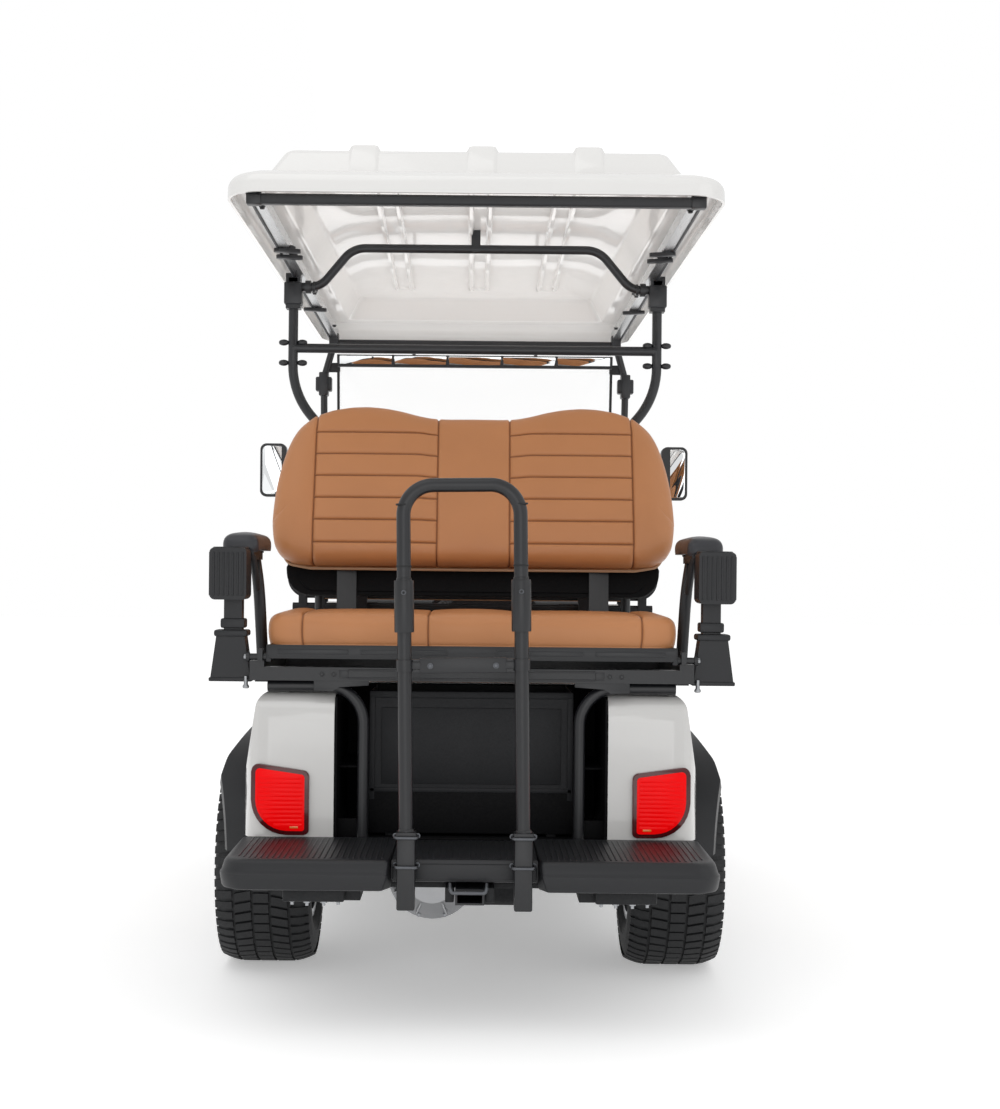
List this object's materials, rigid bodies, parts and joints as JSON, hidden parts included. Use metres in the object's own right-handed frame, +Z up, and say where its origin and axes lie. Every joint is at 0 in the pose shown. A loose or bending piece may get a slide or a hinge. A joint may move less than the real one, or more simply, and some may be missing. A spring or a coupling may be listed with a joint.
{
  "type": "golf cart",
  "caption": "Electric golf cart with a roof, two bench seats back to back, a flip rear seat, a footrest with a grab bar, and steered wheels.",
  "frame": {"origin": "on the ground under the middle of the cart's length and width", "axes": "+Y forwards, +X to the cart's right, +Z up"},
  "size_m": [1.5, 2.978, 2.0766],
  "materials": {
    "body_white": "gloss",
    "black_plastic": "satin",
    "black_steel": "satin powder coat",
    "rail_aluminium": "satin",
    "wheel_alloy": "machined",
    "cast_aluminium": "as cast",
    "steel_dark": "satin",
    "tan_leather": "soft grain",
    "armrest_black": "satin",
    "tyre_rubber": "matte",
    "red_lens": "gloss",
    "lamp_clear": "gloss",
    "clear_screen": "gloss",
    "mirror_glass": "satin",
    "grey_panel": "satin",
    "floor_rubber": "matte",
    "battery_case": "satin"
  },
  "bodies": {
    "root": {"chassis": "black_steel", "rear_step_bracket": "black_steel", "shock_bridge": "black_steel", "floor_pan": "floor_rubber", "rocker_panels": "black_plastic", "rear_body": "body_white", "rear_flares": "black_plastic", "storage_well": "grey_panel", "seat_support_hoops": "black_steel", "front_cowl": "body_white", "front_flares": "black_plastic", "dashboard": "black_plastic", "front_bumper": "black_plastic", "head_lights": "lamp_clear", "tail_lights": "red_lens", "windshield": "clear_screen", "front_posts": "black_steel", "roof_canopy": "body_white", "roof_side_rails": "rail_aluminium", "roof_rear_crossbar": "black_steel", "rear_struts": "black_steel", "roof_hoop_bar": "black_steel", "front_seat_back": "tan_leather", "front_seat_back_shell": "black_plastic", "front_seat_hinges": "steel_dark", "rear_seat_back": "tan_leather", "rear_seat_frame": "black_steel", "armrest_left": "black_plastic", "armrest_right": "black_plastic", "armrest_pads": "armrest_black", "footrest": "black_plastic", "grab_bar": "black_steel", "hitch_receiver": "black_steel", "rear_axle": "cast_aluminium", "drive_motor": "steel_dark", "rear_suspension": "steel_dark", "front_axle": "steel_dark", "front_suspension": "steel_dark", "steering_column": "steel_dark", "pedals": "steel_dark", "battery_pack": "battery_case", "interior_mirror": "mirror_glass", "side_mirrors": "mirror_glass"},
    "front_seat_lid": {"front_seat_base": "black_plastic", "front_seat_cushion": "tan_leather"},
    "rear_flip_seat": {"rear_seat_tray": "black_plastic", "rear_seat_cushion": "tan_leather"},
    "left_knuckle": {"knuckle_left": "steel_dark"},
    "right_knuckle": {"knuckle_right": "steel_dark"},
    "track_rod": {"tie_rod": "steel_dark"},
    "steering_wheel": {"steering_wheel": "black_plastic"},
    "wheel_front_left": {"tyre_front_left": "tyre_rubber", "rim_front_left": "wheel_alloy"},
    "wheel_front_right": {"tyre_front_right": "tyre_rubber", "rim_front_right": "wheel_alloy"},
    "wheel_rear_left": {"tyre_rear_left": "tyre_rubber", "rim_rear_left": "wheel_alloy"},
    "wheel_rear_right": {"tyre_rear_right": "tyre_rubber", "rim_rear_right": "wheel_alloy"}
  },
  "joints": [
    {"name": "front_seat_tilt", "type": "hinge", "parent": "root", "child": "front_seat_lid", "pos_m": [0, -0.262, 0.706], "axis": [1, 0, 0], "range_deg": [0, 42]},
    {"name": "rear_seat_flip", "type": "hinge", "parent": "root", "child": "rear_flip_seat", "pos_m": [0, -1.143, 0.838], "axis": [1, 0, 0], "range_deg": [0, 112]},
    {"name": "steer_left", "type": "hinge", "parent": "root", "child": "left_knuckle", "pos_m": [-0.47, 0.99, 0.28], "axis": [0, 0, 1], "range_deg": [-28, 28]},
    {"name": "steer_right", "type": "hinge", "parent": "root", "child": "right_knuckle", "pos_m": [0.47, 0.99, 0.28], "axis": [0, 0, 1], "range_deg": [-28, 28]},
    {"name": "track_rod_swing", "type": "hinge", "parent": "left_knuckle", "child": "track_rod", "pos_m": [-0.408, 0.895, 0.21], "axis": [0, 0, 1], "range_deg": [-33, 33]},
    {"name": "steering_wheel_turn", "type": "hinge", "parent": "root", "child": "steering_wheel", "pos_m": [-0.24, 0.45, 1], "axis": [0, -0.5779, 0.8161], "range_deg": [-285, 285]},
    {"name": "spin_front_left", "type": "hinge", "parent": "left_knuckle", "child": "wheel_front_left", "pos_m": [-0.5325, 0.99, 0.28], "axis": [1, 0, 0], "continuous": true},
    {"name": "spin_front_right", "type": "hinge", "parent": "right_knuckle", "child": "wheel_front_right", "pos_m": [0.5325, 0.99, 0.28], "axis": [1, 0, 0], "continuous": true},
    {"name": "spin_rear_left", "type": "hinge", "parent": "root", "child": "wheel_rear_left", "pos_m": [-0.5325, -0.68, 0.28], "axis": [1, 0, 0], "continuous": true},
    {"name": "spin_rear_right", "type": "hinge", "parent": "root", "child": "wheel_rear_right", "pos_m": [0.5325, -0.68, 0.28], "axis": [1, 0, 0], "continuous": true}
  ],
  "couplings": [
    {"joint": "steer_right", "follows": "steer_left", "ratio": 1},
    {"joint": "track_rod_swing", "follows": "steer_left", "ratio": -1.15},
    {"joint": "steering_wheel_turn", "follows": "steer_left", "ratio": 10}
  ]
}
